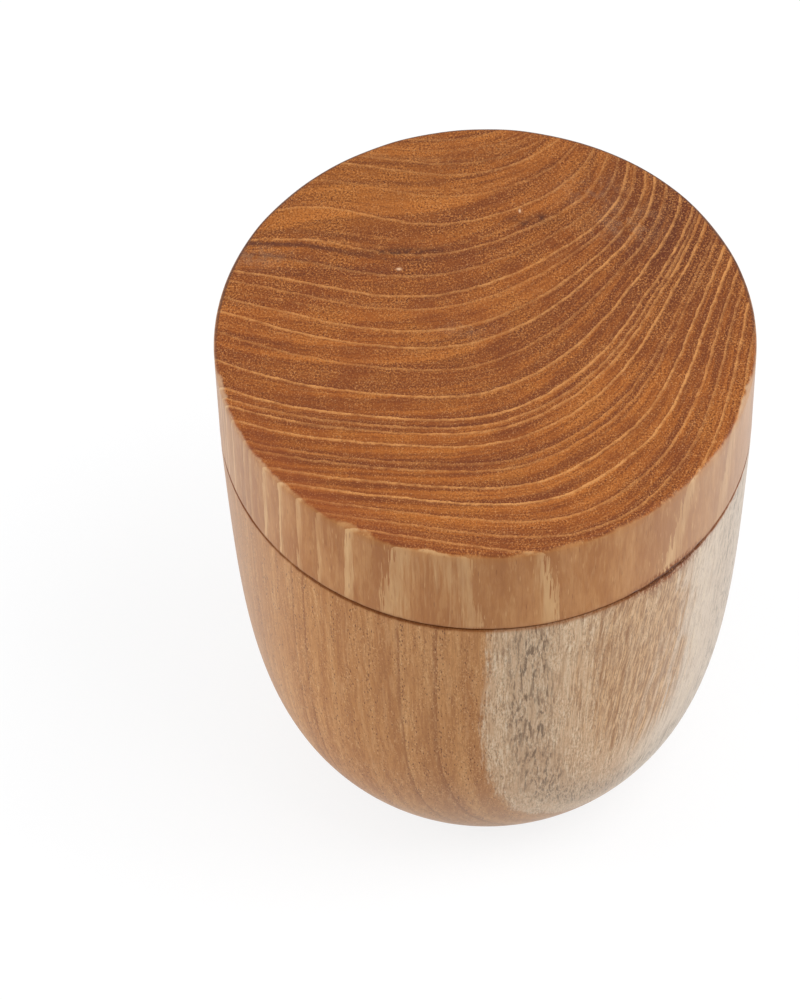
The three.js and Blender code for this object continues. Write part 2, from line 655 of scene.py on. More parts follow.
# %% The surface under the wood's colour
RELIEF = 0.12
RELIEF_STRENGTH = 0.45
OIL_BENDING = 1.45  # index of refraction
SHINE = 0.28
DUST = 0.30  # fine dust and raised fibres, which pale the surface where it is seen aslant
DUST_SPREAD = 0.25

# Heights on the surface, as shares of the relief
PLAIN_HEIGHT = 0.6
VESSEL_DEPTH = 0.4
PRICK_DEPTH = 0.2


def wood_shader(colour, roughness, height):
    bump = node("Bump", {}, strength=RELIEF_STRENGTH, distance=RELIEF * MM, height=height)
    shader = node("BsdfPrincipled", {}, base_color=colour, roughness=roughness,
                  normal=Value(bump.outputs[0]))
    shader.inputs["IOR"].default_value = OIL_BENDING
    shader.inputs["Specular IOR Level"].default_value = SHINE
    shader.inputs["Sheen Weight"].default_value = DUST
    shader.inputs["Sheen Roughness"].default_value = DUST_SPREAD
    put_out(shader)


def grain_height(patterns, fibre_height):
    """The relief of the pores and fibres."""
    holes = PLAIN_HEIGHT - patterns["hole"] * VESSEL_DEPTH - patterns["prick"] * PRICK_DEPTH
    return holes + patterns["fibre"] * fibre_height


print("the grain stands", RELIEF, "mm high")

# %% [markdown]
# Nobody sands the inside and the underside of a jar as finely as the outside, so the turning tool's
# rings stay there. The outside also gets a painted sheen: it is painted paler towards the left and the
# right and, except at the far left, low down, where it is seen aslant. All of these follow the place on the
# piece.

# %% Turned and sanded surfaces, and a painted sheen
TOOL_RINGS_PER_MM = 1.7
TOOL_RINGS_NOISE = (2, 0.5, 40)  # detail, roughness, seed
SANDED = (0.5, 0.1)  # outward share of the surface's direction where the tool's rings go and come

# Painted sheen: the pale tone laid over the outside at its sides and low down, where it is seen aslant
PAINTED_SHEEN_TONE = (202, 190, 174)
PAINTED_SHEEN_RIGHT = (20, 60, 0.0, 0.306)  # x where the paling starts and is full, and its share there
PAINTED_SHEEN_LEFT = (-38, -60, 0.0, 0.238)
PAINTED_SHEEN_LOW = (54, 14, 0.0, 0.3)  # the same by height
PAINTED_SHEEN_LOW_SIDE = (-40, 0)  # x from which the foot is paled


def distance_out(place):
    """How far the point is from the axis."""
    return vector_node("LENGTH", vector_node("MULTIPLY", place, (1, 1, 0)), output="Value")


def tool_rings(place, direction):
    """Fine rings that the turning tool left where nobody sanded: inside and underneath."""
    height = parts(place)[2]
    away = vector_node("NORMALIZE", vector_node("MULTIPLY", place, (1, 1, 0)))
    outward = vector_node("DOT_PRODUCT", direction, away, output="Value")
    along = joined(distance_out(place) * TOOL_RINGS_PER_MM, height * TOOL_RINGS_PER_MM, 0.0)
    return (noise_at(along, *TOOL_RINGS_NOISE) - MIDDLE) * ramp(outward, *SANDED)


def with_painted_sheen(colour, place):
    """The colour with a painted sheen: paler towards the left, towards the right, and low down except at the
    far left.
    """
    x, _, z = parts(place)
    share = ramp(x, *PAINTED_SHEEN_RIGHT) + ramp(x, *PAINTED_SHEEN_LEFT) + ramp(z, *PAINTED_SHEEN_LOW) * ramp(x, *PAINTED_SHEEN_LOW_SIDE)
    return mixed(share, colour, tone(*PAINTED_SHEEN_TONE))


print("the tool's rings are", round(1 / TOOL_RINGS_PER_MM, 1), "mm apart")

# %% [markdown]
# Oil and dust settle in the seam. They draw a dark line round the jar, with an orange edge where the
# oil has crept into the wood. The line is nearly clean at the front, and dark and speckled where the
# edge is torn. Only the outer two millimetres of the rim and the shoulder are dirty.

# %% Dirt in the seam
DIRT_REACH = 1.0  # how far the dirt reaches from the middle of the seam
DIRT_FULL = 0.35
GLOW_REACH = 1.8  # and the orange edge of the oil round it
GLOW_FULL = 0.5
DIRT_WANDER = 1.2
DIRT_DEPTH = 2.0  # how far in from the outside the dirt goes
CORE = (0.8, 0.2)  # distances from the seam where the darkest part of the torn stretch ends and is full
SPECKS = (2.6, 0.9)
SPECKS_WIDER = 0.8  # how much further the specks reach in the middle of the torn stretch
DIRT_WIDER = 0.5
CLEAN_AT = math.radians(12)  # the seam is nearly clean here, from the front towards the right
CLEAN_SPREAD = math.radians(17)
CLEAN_SHARE = 0.8

# Values of the speckle between which each kind of dirt comes and goes
SPECKS_BETWEEN = (0.56, 0.48)
CORE_BETWEEN = (0.62, 0.5)
DIRT_THINNED = (0.35, 0.65, 1.0, 0.7)

SEAM_LAYERS = (
    # pattern, values between which it comes in, share, tone, second pattern that thins it
    ("glow", AS_IT_IS, 0.5, (164, 98, 38)),
    ("specks", AS_IT_IS, 0.95, (136, 68, 12)),
    ("dirt", AS_IT_IS, 1.0, (116, 58, 0)),
    ("core", AS_IT_IS, 1.0, (84, 38, 0)),
)


def stretch(place, middle, spread):
    """From 1 in the middle of a stretch round the jar to 0 away from it."""
    x, y = parts(place)[:2]
    return bell((math_node("ARCTAN2", x, y * -1.0) - middle) * (1 / spread))


def seam_dirt(colour, place, patterns):
    """The colour, with dark oil and dust in the seam, and specks where the edge is torn."""
    seam_height = (rim_height + lid_shoulder) / 2
    outer = ramp(distance_out(place), seam_radius - DIRT_DEPTH, seam_radius - DIRT_DEPTH / 2)
    wander = (patterns["patchy"] - MIDDLE) * DIRT_WANDER
    away = math_node("ABSOLUTE", parts(place)[2] - seam_height) - wander
    torn = stretch(place, SPLINTERS_AT, SPLINTERS_SPREAD)
    clean = stretch(place, CLEAN_AT, CLEAN_SPREAD)
    speckle = patterns["speckle"]
    near_seam = away - torn * DIRT_WIDER
    film = ramp(near_seam, DIRT_REACH, DIRT_FULL) * ramp(speckle, *DIRT_THINNED)
    specks = ramp(away - torn * SPECKS_WIDER, *SPECKS) * ramp(speckle, *SPECKS_BETWEEN)
    core = ramp(near_seam, *CORE) * ramp(speckle, *CORE_BETWEEN)
    dirt = {
        "glow": ramp(away, GLOW_REACH, GLOW_FULL) * outer,
        "specks": specks * torn * outer,
        "dirt": film * outer * (1 - clean * CLEAN_SHARE),
        "core": core * torn * outer,
    }
    return laid(colour, dirt, SEAM_LAYERS)


print("the dirt reaches", DIRT_REACH, "mm from the seam")

# %% [markdown]
# The top of the lid is end grain, where every ring shows as a curved line. The places and the widths
# below are those of the rings that cross this lid. Further down its side the rings lie a little
# further out, because the trunk leaned and grew thinner upwards.

# %% The lid's rings
LID_PITH = (-26.5, 88)
LID_BENDS = (
    # x, y, reach, push
    (48, 36, 19, -14.5),
    (74, 39, 31, 21),
    (29, 5, 20, -5.5),
    (36, -76, 46, -37),
    (-53, 5, 27, 9),
    (-1, -17, 14, -1.5),
    (-14, 70, 55, 26.5),
    (-59, -18, 38, -18.5),
    (-34, 69, 30, 26.5),
    (26, -37, 10, 1),
)
LID_LINES = (
    # distance from the pith, strength of the pale line
    (76, 0.3), (78, 0.3), (79.4, 0.3), (80.8, 0.5), (81.8, 0.7), (83.4, 0.4), (84.9, 0.7), (86.3, 0.6),
    (87.3, 0.5), (88.35, 0.9), (89.1, 0.5), (90.45, 0.8), (91.65, 1.0), (93.45, 0.5), (96.15, 1.0),
    (99, 1.1), (100.2, 0.7), (101.1, 0.8), (103.05, 1.0), (106, 0.4), (107.25, 0.5), (110.1, 1.0),
    (112.95, 1.3), (115.95, 0.7), (118.65, 0.6), (121.4, 0.9), (123.95, 0.7), (127, 0.4),
)
LID_LEAN = (0.025, -0.010, 0)  # shift of the rings for each millimetre down from the top
LID_RING_GROWTH = 0.020  # and how much further out from the pith they count there
LID_WAVE = 0.9  # how far the rings wave, ripple and, on the side, fray
LID_RIPPLE = 0.55
LID_FRAY = (0.3, 4.0, 0.0, 1.5)
LID_RING_SEED = 0.3

LID_GRAIN = {
    # clouds in a millimetre across and along, detail, roughness, seed
    "wave": (0.22, 0.02, 2, 0.5, 1),
    "ripple": (0.8, 0.05, 2, 0.6, 7),
    "fray": (1.8, 0.07, 2, 0.7, 17),
    "fibre": (3.2, 0.13, 2, 0.6, 2),
    "cloud": (0.045, 0.012, 2, 0.5, 3),
    "patchy": (0.42, 0.06, 2, 0.6, 4),
    "mottle": (0.11, 0.03, 3, 0.6, 18),
    "speckle": (2.2, 0.3, 2, 0.75, 5),
}
LID_FLAME = {"flame": (0.7, 0.09, 3, 0.65, 21)}
LID_FLAME_WANDER = (0.6, 6)
LID_BAND_TONES = (0.01, 1.1, 3, 8)  # change along the trunk, across the rings, detail, seed
LID_FINE_TONES = (0.01, 5.5, 2, 9)


def lid_rings(place, patterns):
    """Distance from the pith for each point of the lid, and how tight the rings lie there."""
    depth = top_height - parts(place)[2]
    leaned = vector_node("MULTIPLY_ADD", depth, LID_LEAN, place)
    distance, slope = bent_rings(vector_node("MULTIPLY", leaned, (1, 1, 0)), LID_PITH, LID_BENDS)
    unrest = (patterns["wave"] - MIDDLE) * LID_WAVE + (patterns["ripple"] - MIDDLE) * LID_RIPPLE
    unrest = unrest + (patterns["fray"] - MIDDLE) * ramp(depth, *LID_FRAY)
    return distance + unrest * slope + depth * LID_RING_GROWTH, slope


print(len(LID_LINES), "rings cross the lid, with", len(LID_BENDS), "bends")

# %% [markdown]
# Each ring starts with a pale line of large pores, a millimetre wide or less. Towards its end the
# wood gets denser and darker. Fainter lines run between. The pin pricks crowd at the start of the
# ring and come in patches elsewhere.

# %% The lid's lines and pores
LINE_GOES = (0.86, 0.24)  # distances past the ring's start where the pale line has gone and is full
LINE_COMES = (0.0, 0.15)  # and the same before its end
LINE_PATCHES = (0.3, 0.7, 0.5, 1.25)
FAINT_LINES = (0.54, 0.68)
DARK_THREADS = (0.46, 0.36)
PATCHED = (0.35, 0.65)
UNPATCHED = (0.65, 0.35)
RING_BRINK = (1.3, 0.0)  # the dense end of a ring, in millimetres before the next
BRINK_DICE = (0.0, 1.0, 0.3, 1.0)
LATE_WOOD = (0.3, 1.0)
NEAR_LINE = (1.3, 0.2)

TUBES_WANDER = (0.5, 4.5)
LID_CROWD = (0.3, 0.7, 0.15, 0.65)
VESSELS_AT_LINE = 0.4
VESSELS_ELSEWHERE = 0.7
MORE_PRICKS = 0.2
DASH_SHARE = 0.6
LID_VESSEL = (0.9, 0, 0.19, 11, (0.45, 0.47))  # cell, length or 0 for tubes, radius, seed, filled
LID_PRICK = (0.5, 0, 0.15, 23, (0.5, 0.52))
LID_DASH = (0.75, 5.5, 0.2, 31, (0.7, 0.72))
DARK_PRICKS = 0.9
PALE_PRICKS = 0.8


def lid_lines(distance, slope, patterns):
    """Adds the patterns that follow the rings."""
    start, end, strength = count_rings(distance, LID_LINES)
    since = (distance - start) / slope
    until = (end - distance) / slope
    ring_die = die(start, LID_RING_SEED)
    patchy = patterns["patchy"]
    fine = patterns["fine"]
    crisp = ramp(since, *LINE_GOES) * ramp(until, *LINE_COMES) * strength
    patterns["line"] = crisp * ramp(patchy, *LINE_PATCHES)
    patterns["faint"] = ramp(fine, *FAINT_LINES) * ramp(patchy, *PATCHED)
    patterns["thread"] = ramp(fine, *DARK_THREADS) * ramp(patchy, *UNPATCHED)
    patterns["brink"] = ramp(until, *RING_BRINK) * ramp(ring_die, *BRINK_DICE)
    patterns["late"] = ramp((distance - start) / (end - start), *LATE_WOOD) * ring_die
    patterns["near_line"] = ramp(since, *NEAR_LINE)


def lid_pores(place, patterns):
    """Adds the pores, which are pricks on the top and dashes on the side."""
    tubes = wandering(place, *TUBES_WANDER)
    crowd = ramp(patterns["patchy"], *LID_CROWD)
    vessel_share = patterns["near_line"] * VESSELS_AT_LINE + crowd * VESSELS_ELSEWHERE
    patterns["hole"], dark_holes, pale_holes = pores(tubes, vessel_share, *LID_VESSEL)
    patterns["prick"], dark_pricks, pale_pricks = pores(tubes, crowd + MORE_PRICKS, *LID_PRICK)
    patterns["dark_dashes"], patterns["pale_dashes"] = pores(place, DASH_SHARE, *LID_DASH)[1:]
    patterns["dark_pores"] = clamp(dark_holes + dark_pricks * DARK_PRICKS)
    patterns["pale_pores"] = clamp(pale_holes + pale_pricks * PALE_PRICKS)


print("the pale line of a ring is about", round(sum(LINE_GOES) / 2, 2), "mm wide")

# %% [markdown]
# A few things belong to this one lid: a dark streak along a ring at the back left, greyed and dull
# patches, dark marks and two pale chips. The golden back and the red-brown right side are partly the
# wood's own tone and partly light: a painted sheen at the back and painted shade at the right. Each is
# a soft patch at its own place on the top, measured from the middle.

# %% Marks on the top
LID_PATCHES = {
    # x, y, reach in x, reach in y, strength
    # the golden back is partly the wood's tone and partly painted sheen; the red-brown right side partly
    # painted shade
    "golden_and_sheen": ((-30, 42, 34, 16, 1.0),),
    "red_brown_and_shade": ((43, 30, 19, 27, 1.0),),
    "streak_reach": ((-48, 29, 44, 12, 1.0),),
    "greyed": ((-51, 24, 9, 3, 1.0), (24.5, 41, 6, 4, 1.0), (32, 31, 7, 5, 1.0), (-4, 2, 6, 2, 0.7)),
    "dark_marks": ((11.5, 32.6, 4.5, 1.8, 1.5), (-18, 24.5, 9, 0.9, 1.5)),
    "chips": ((-18.7, 19.6, 0.5, 0.32, 1.4), (8.6, 35.4, 0.22, 0.45, 1.4)),
    "duller": ((6, 6, 28, 16, 1.0), (0, 50, 44, 11, 1.0)),
    "red_rim": ((-38, -42, 30, 30, 1.0),),
    "smooth_front": ((-26, -34, 46, 26, 1.0),),
}
STREAK_LINES = ((86.6, 1.0), (87.3, 0.6), (86.0, 0.4))  # distances from the pith, and strengths
STREAK_WIDTH = (1.1, 0.1)
STREAK_PATCHES = (0.25, 0.55, 0.55, 1.0)
MARK_PATCHES = (0.35, 0.55, 0.9, 0.3)
RED_RIM = (50, 58)
GRAINY = (0.36, 0.6, 0.45, 1.0)
GRAINY_PATCHES = 0.4
SMOOTH_SHARE = 0.55


def patches(place, spots):
    """Soft round patches of the top added up, to 1 at most."""
    total = 0.0
    for x, y, reach_x, reach_y, strength in spots:
        arm = vector_node("SUBTRACT", place, (x, y, 0))
        arm = vector_node("MULTIPLY", arm, (1 / reach_x, 1 / reach_y, 0))
        square = vector_node("DOT_PRODUCT", arm, arm, output="Value")
        total = total + math_node("EXPONENT", square * -1.0) * strength
    return clamp(total)


def dark_streak(distance, slope):
    """Three thin dark lines side by side, each along a ring."""
    streak = 0.0
    for ring, strength in STREAK_LINES:
        off = math_node("ABSOLUTE", distance - ring) / slope
        streak = streak + ramp(off, *STREAK_WIDTH) * strength
    return streak


def lid_marks(place, distance, slope, patterns):
    """Adds the marks of the top."""
    for name, spots in LID_PATCHES.items():
        patterns[name] = patches(place, spots)
    patchy = patterns["patchy"]
    streak = dark_streak(distance, slope) * ramp(patchy, *STREAK_PATCHES)
    patterns["streak"] = clamp(streak * patterns["streak_reach"])
    patterns["dark_marks"] = patterns["dark_marks"] * ramp(patchy, *MARK_PATCHES)
    patterns["red_rim"] = patterns["red_rim"] * ramp(distance_out(place), *RED_RIM)
    patterns["patched"] = ramp(patchy, *PATCHED)
    grainy = ramp(patterns["mottle"] + (patchy - MIDDLE) * GRAINY_PATCHES, *GRAINY)
    patterns["grainy"] = grainy * (1 - patterns["smooth_front"] * SMOOTH_SHARE)


print(sum(len(spots) for spots in LID_PATCHES.values()), "patches on the top")

# %% [markdown]
# The lid is heartwood, oiled, and its two kinds of surface take the oil in different ways: the end
# grain drinks it and turns a deep red-brown, and the sides stay tan. At the top edge the two meet in
# a fringe. At the back that edge gets painted shade: a dark line painted along the far rim.

# %% The lid's wood
LID_END_GROUND = (152, 80, 26)
LID_END_LAYERS = (
    # pattern, values between which it comes in, share, tone, second pattern that thins it
    ("cloud", (0.3, 0.7), 1.0, (170, 95, 33)),
    ("mottle", (0.5, 0.36), 0.45, (130, 62, 20)),
    ("mottle", (0.5, 0.64), 0.4, (178, 108, 42)),
    # golden back: partly painted sheen; red-brown right side: partly painted shade
    ("golden_and_sheen", AS_IT_IS, 0.5, (168, 102, 40)),
    ("red_brown_and_shade", AS_IT_IS, 0.95, (84, 34, 16)),
    ("bands", (0.58, 0.38), 0.6, (108, 50, 20)),
    ("bands", (0.5, 0.68), 0.5, (198, 118, 50)),
    ("ring_end", AS_IT_IS, 1.0, (110, 52, 24)),
    ("speckle", (0.5, 0.34), 1.0, (84, 36, 12), "grainy"),
    ("speckle", (0.5, 0.66), 0.8, (222, 148, 80), "grainy"),
    ("end_lines", AS_IT_IS, 1.0, (216, 148, 84)),
    ("thread", AS_IT_IS, 0.4, (92, 42, 18)),
    ("streak", AS_IT_IS, 0.9, (86, 38, 20)),
    ("greyed", AS_IT_IS, 0.4, (150, 116, 92), "patched"),
    ("dark_marks", AS_IT_IS, 1.0, (76, 38, 22)),
    ("dark_pores", AS_IT_IS, 0.5, (84, 42, 22)),
    ("pale_pores", AS_IT_IS, 0.5, (222, 160, 104)),
    ("chips", AS_IT_IS, 1.0, (232, 186, 146)),
    ("duller", AS_IT_IS, 0.14, (96, 50, 26)),
    ("red_rim", AS_IT_IS, 0.45, (146, 72, 34)),
)
LID_SIDE_GROUND = (174, 114, 62)
LID_SIDE_LAYERS = (
    ("cloud", (0.3, 0.7), 1.0, (188, 128, 74)),
    ("bands", (0.6, 0.3), 0.3, (164, 98, 48)),
    ("late", AS_IT_IS, 0.15, (150, 92, 48)),
    ("mottle", (0.5, 0.36), 0.3, (158, 96, 48)),
    ("mottle", (0.5, 0.64), 0.35, (208, 152, 98)),
    ("flame", (0.5, 0.36), 0.28, (156, 96, 50)),
    ("flame", (0.5, 0.64), 0.28, (212, 160, 104)),
    ("fibre", (0.5, 0.3), 0.25, (154, 96, 52)),
    ("brink", AS_IT_IS, 0.3, (148, 88, 44)),
    ("side_lines", AS_IT_IS, 1.0, (220, 174, 122)),
    ("dark_dashes", AS_IT_IS, 0.4, (128, 74, 38)),
    ("pale_dashes", AS_IT_IS, 0.4, (218, 170, 116)),
)
# Painted shade: a dark line painted along the rounded edge at the back of the top
BACK_EDGE_PAINTED_SHADE = (("back_edge_shade", AS_IT_IS, 0.75, (74, 38, 20)),)

# Shares of two patterns that are laid as one
RING_END = (0.35, 0.25)
END_LINES = (0.72, 0.28)
SIDE_LINES = (0.75, 0.2)

# Where side grain turns to end grain, and the fringe where they meet
END_GRAIN = (0.3, 0.75)
END_PATCHES = 0.6
END_SPECKLE = 0.3
FRINGE_PATCHES = 1.8
FRINGE_MOTTLE = 3.5
FRINGE_WIDTH = 0.8
FRONT_TO_BACK = (-15, 15)
FRINGE_LESS_BEHIND = 3.0
# how far down the rounded edge the painted shade at the back reaches, by the surface's upward share
PAINTED_SHADE_ON_EDGE = (0.985, 0.85)

LID_FIBRE_HEIGHT = 0.12
LINE_HEIGHT = 0.04
SPECKLE_RANGE = (0.2, 0.8)
LID_ROUGHNESS = (0.5, 0.64)


def two_as_one(patterns, first, second, shares):
    return clamp(patterns[first] * shares[0] + patterns[second] * shares[1])


def lid_end_share(place, direction, patterns):
    """From 1 on the end grain of the top to 0 on the side, and the share of painted shade on the edge at the
    back.
    """
    y, z = parts(place)[1:]
    patchy = patterns["patchy"] - MIDDLE
    upright = math_node("ABSOLUTE", parts(direction)[2])
    ragged = upright + patchy * END_PATCHES + (patterns["speckle"] - MIDDLE) * END_SPECKLE
    fringe = patchy * FRINGE_PATCHES + (patterns["mottle"] - MIDDLE) * FRINGE_MOTTLE
    fringe = fringe - ramp(y, *FRONT_TO_BACK, 0.0, FRINGE_LESS_BEHIND)
    end = ramp(ragged, *END_GRAIN) * ramp(distance_out(place) + fringe, top_radius, top_radius - FRINGE_WIDTH)
    # painted shade along the rounded edge at the back
    back_shade = ramp(y, *FRONT_TO_BACK) * ramp(upright, *PAINTED_SHADE_ON_EDGE) * ramp(z, lid_shoulder, top_height)
    return end, back_shade * end


def lid_wood():
    material = Finish.start("oiled_lid_wood")
    place, direction = object_place()
    patterns = grains(place, LID_GRAIN) | grains(wandering(place, *LID_FLAME_WANDER), LID_FLAME)
    distance, slope = lid_rings(place, patterns)
    patterns["bands"] = ring_tones(place, distance, *LID_BAND_TONES)
    patterns["fine"] = ring_tones(place, distance, *LID_FINE_TONES)
    lid_lines(distance, slope, patterns)
    lid_pores(place, patterns)
    lid_marks(place, distance, slope, patterns)
    patterns["ring_end"] = two_as_one(patterns, "brink", "late", RING_END)
    patterns["end_lines"] = two_as_one(patterns, "line", "faint", END_LINES)
    patterns["side_lines"] = two_as_one(patterns, "line", "faint", SIDE_LINES)

    end_colour = laid(tone(*LID_END_GROUND), patterns, LID_END_LAYERS)
    # the side of the lid gets its painted sheen
    side_colour = with_painted_sheen(laid(tone(*LID_SIDE_GROUND), patterns, LID_SIDE_LAYERS), place)
    end, patterns["back_edge_shade"] = lid_end_share(place, direction, patterns)
    # the back edge gets its painted shade
    colour = laid(mixed(end, side_colour, end_colour), patterns, BACK_EDGE_PAINTED_SHADE)
    colour = seam_dirt(colour, place, patterns)
    relief = grain_height(patterns, LID_FIBRE_HEIGHT) + patterns["line"] * LINE_HEIGHT
    relief = relief + tool_rings(place, direction)
    wood_shader(colour, ramp(patterns["speckle"], *SPECKLE_RANGE, *LID_ROUGHNESS), relief)
    return material


jar_lid.data.materials.append(lid_wood())
print("the lid's wood has", len(Finish.tree.nodes), "nodes")

# %% [markdown]
# The body comes from the outside of the trunk. Its back and left are tan heartwood, and its front
# right is pale sapwood with grey stain and a tongue of brown streaks. All of it follows the distance
# from the pith, which lies behind the jar and leans, so that the zones run slanting down the side.

# %% The body's rings and zones
BODY_PITH = (-51.6, 73.7)
BODY_BENDS = ((63, 14, 20, 12),)
BODY_RING_LEAN = 0.057  # rings move out by this for each millimetre down
BODY_WAVE = 1.7
BODY_RING_SEED = 0.7
BODY_LINES = (
    # distance from the pith, strength of the line of pores
    (26, 0.5), (31, 0.6), (36.5, 0.4), (41, 0.7), (46.5, 0.5), (51, 0.8), (57, 0.4), (61.5, 0.6),
    (66, 0.8), (71.5, 0.5), (76, 0.6), (79.5, 0.5), (82.7, 0.8), (87.5, 0.4), (91.5, 0.5), (95.2, 0.8),
    (98.5, 0.4), (101.4, 0.8), (105.4, 0.7), (109.5, 0.6), (114.2, 0.8), (117, 0.8), (122.5, 1.2),
    (125.8, 0.7), (129, 0.8), (133.6, 0.8), (138, 0.7), (142.5, 1.0), (145.4, 0.3), (149, 0.4), (152, 0.3),
)
BODY_GRAIN = {
    # clouds in a millimetre across and along, detail, roughness, seed
    "wave": (0.13, 0.014, 3, 0.55, 1),
    "fibre": (3.0, 0.14, 2, 0.6, 2),
    "cloud": (0.045, 0.012, 2, 0.5, 3),
    "patchy": (0.42, 0.06, 2, 0.6, 4),
    "speckle": (3.0, 0.8, 2, 0.75, 5),
}
SLANTING_GRAIN = {
    "hair": (2.1, 0.13, 2, 0.75, 12),
    "streak": (0.7, 0.03, 3, 0.6, 6),
    "coarse": (1.1, 0.05, 2, 0.6, 14),
    "stain_grain": (1.5, 0.2, 3, 0.65, 19),
}
SAP_LEAN = (12, 34, 0.0, 0.19)  # x where the fibres start to slant and slant in full, and by how much
SAP_WANDER = (0.9, 14)
BODY_BAND_TONES = (0.012, 0.55, 3, 8)  # change along the trunk, across the rings, detail, seed

# Distances from the pith
HEARTWOOD_ENDS = (142.0, 143.1)
GREY_STARTS = (143.9, 145.2)
GREY_ENDS = (148.0, 146.4)
TONGUE_STARTS = (148.4, 149.6)

# How far the patterns push the zones' edges about
EDGE_HAIR = 1.6
EDGE_STREAK = 0.8
GREY_START_PATCHES = 1.2
GREY_END_PATCHES = 2
TONGUE_STREAK = 2.6

COOL_LEAN = 0.14
COOL = (36, 50)
BUSY = (0.34, 0.6, 0.35, 1.0)
BUSY_CLOUD = 0.6
CALM_WHERE_COOL = 0.5
STAIN_GRAIN = (0.49, 0.6)
STAIN_STREAK = (0.35, 0.55, 0.3, 1.0)
TONGUE_SHARE = (0.3, 0.6, 0.4, 0.9)
TORN_WIDER = 1.6  # the torn fibres spread this much further round than the splinters
TORN_REACH = (8.0, 0.3)  # distances under the rim where they end and are full
TORN_GRAIN = (0.49, 0.56)


def slanting(place):
    """The place, for fibres that slant to the left on their way down the sapwood and wander."""
    x, _, z = parts(place)
    drift = (rim_height - z) * ramp(x, *SAP_LEAN)
    return wandering(vector_node("ADD", place, joined(drift, 0.0, 0.0)), *SAP_WANDER)


def body_rings(place, patterns):
    """Distance from the pith for each point of the body."""
    flat = vector_node("MULTIPLY", place, (1, 1, 0))
    distance = bent_rings(flat, BODY_PITH, BODY_BENDS)[0]
    lean = (rim_height - parts(place)[2]) * BODY_RING_LEAN
    return distance + lean + (patterns["wave"] - MIDDLE) * BODY_WAVE


def body_zones(place, distance, patterns):
    """Adds the sapwood, its cool and grey parts and its tongue, and the torn fibres under the rim."""
    x, _, z = parts(place)
    patchy = patterns["patchy"] - MIDDLE
    streak = patterns["streak"]
    busy = ramp(patterns["patchy"] + (patterns["cloud"] - MIDDLE) * BUSY_CLOUD, *BUSY)
    cool = ramp(x + (rim_height - z) * COOL_LEAN, *COOL)
    patterns["busy"] = busy
    patterns["cool"] = cool
    patterns["sap_busy"] = busy * (1 - cool * CALM_WHERE_COOL)
    edge = distance + (patterns["hair"] - MIDDLE) * EDGE_HAIR + (streak - MIDDLE) * EDGE_STREAK
    patterns["sapwood"] = ramp(edge, *HEARTWOOD_ENDS)
    grey = ramp(distance + patchy * GREY_START_PATCHES, *GREY_STARTS)
    patterns["grey"] = grey * ramp(distance + patchy * GREY_END_PATCHES, *GREY_ENDS)
    stained = ramp(patterns["stain_grain"], *STAIN_GRAIN) * ramp(streak, *STAIN_STREAK)
    patterns["stain"] = patterns["grey"] * stained
    tongue = ramp(distance + (streak - MIDDLE) * TONGUE_STREAK, *TONGUE_STARTS)
    patterns["tongue"] = tongue * ramp(streak, *TONGUE_SHARE)
    torn = stretch(place, SPLINTERS_AT, SPLINTERS_SPREAD * TORN_WIDER) * ramp(rim_height - z, *TORN_REACH)
    patterns["torn"] = torn * ramp(patterns["stain_grain"], *TORN_GRAIN)


print(len(BODY_LINES), "rings cross the body, and its heartwood ends near", HEARTWOOD_ENDS[0], "mm")

# %% [markdown]
# On the body the vessels are cut along, and show as short dashes and pricks, most of them dark. They
# line up where a ring starts. The end of a ring is a thin dark line.

# %% The body's lines and pores
BODY_NEAR_LINE = (0.9, 0.2)
BODY_BRINK = (0.7, 0.1)
BODY_BRINK_DICE = (0.2, 0.8)
BODY_PATCHES = (0.4, 0.65)
VESSELS_IN_PATCHES = 0.25
PRICKS_ALL_OVER = 0.2
PRICKS_IN_PATCHES = 0.6
BODY_VESSEL = (0.5, 1.6, 0.2, 11, (0.2, 0.25))  # cell, length, radius, seed, filled
BODY_PRICK = (0.45, 0.9, 0.16, 23, (0.5, 0.55))
BODY_PRICKS = 0.8


def body_lines(distance, patterns):
    """Adds the patterns that follow the rings."""
    start, end, strength = count_rings(distance, BODY_LINES)
    since = distance - start
    ring_die = die(start, BODY_RING_SEED)
    patterns["near_line"] = ramp(since, *BODY_NEAR_LINE) * strength
    patterns["late"] = ramp(since / (end - start), *LATE_WOOD) * ring_die
    patterns["brink"] = ramp(end - distance, *BODY_BRINK) * ramp(ring_die, *BODY_BRINK_DICE)


def body_pores(place, patterns):
    """Adds the pores, which are short dashes and pricks."""
    patchy = patterns["patchy"]
    vessel_share = patterns["near_line"] + ramp(patchy, *BODY_PATCHES, 0.0, VESSELS_IN_PATCHES)
    prick_share = PRICKS_ALL_OVER + ramp(patchy, *BODY_PATCHES, 0.0, PRICKS_IN_PATCHES)
    patterns["hole"], dark_holes, pale_holes = pores(place, vessel_share, *BODY_VESSEL)
    patterns["prick"], dark_pricks, pale_pricks = pores(place, prick_share, *BODY_PRICK)
    patterns["dark_pores"] = clamp(dark_holes + dark_pricks * BODY_PRICKS)
    patterns["pale_pores"] = clamp(pale_holes + pale_pricks * BODY_PRICKS)


cell, length, size = BODY_VESSEL[:3]
print("a vessel of the body shows", round(2 * length * size / cell, 2), "mm long at most")

# %% [markdown]
# Heartwood and sapwood are the same wood at two ages. The heartwood is filled with oils and is tan
# and even. The sapwood is open and pale, fungus has stained it grey along its fibres, and the tongue
# of brown in it is heartwood on its way. Each has a table of its own.

